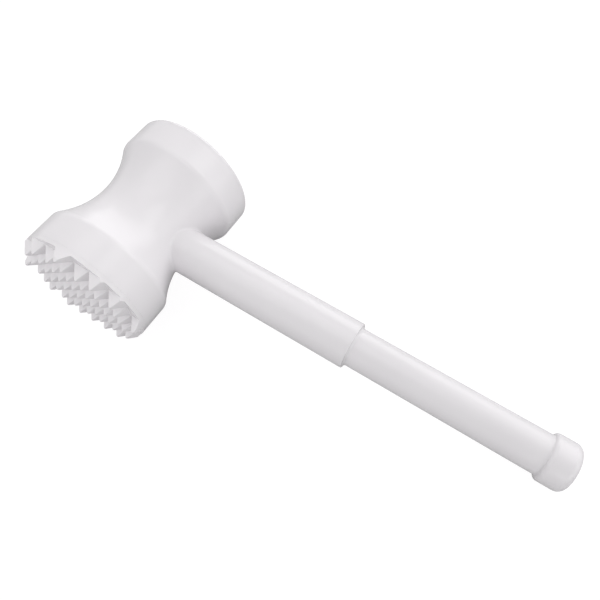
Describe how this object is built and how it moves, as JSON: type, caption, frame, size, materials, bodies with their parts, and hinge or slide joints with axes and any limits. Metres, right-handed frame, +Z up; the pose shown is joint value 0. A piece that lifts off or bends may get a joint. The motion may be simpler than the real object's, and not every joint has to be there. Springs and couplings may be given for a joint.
{
  "type": "meat mallet",
  "caption": "White plastic meat mallet: a round waisted head with a pyramid-toothed face and a smooth face, on a stepped round handle that ends in a domed knob.",
  "frame": {"origin": "on the floor, below the middle of the mallet's outline, as it lies on its two head bands and its knob", "axes": "+Z up from the floor, +X level above the handle, from the head towards the knob, +Y through the head, out of the smooth striking face"},
  "size_m": [0.2502, 0.0882, 0.065],
  "materials": {
    "white_plastic": "satin, slightly glossy moulded surface"
  },
  "bodies": {
    "root": {"head_shell": "white_plastic", "toothed_face": "white_plastic", "smooth_face": "white_plastic", "grip_tube": "white_plastic", "end_knob": "white_plastic"}
  },
  "joints": []
}
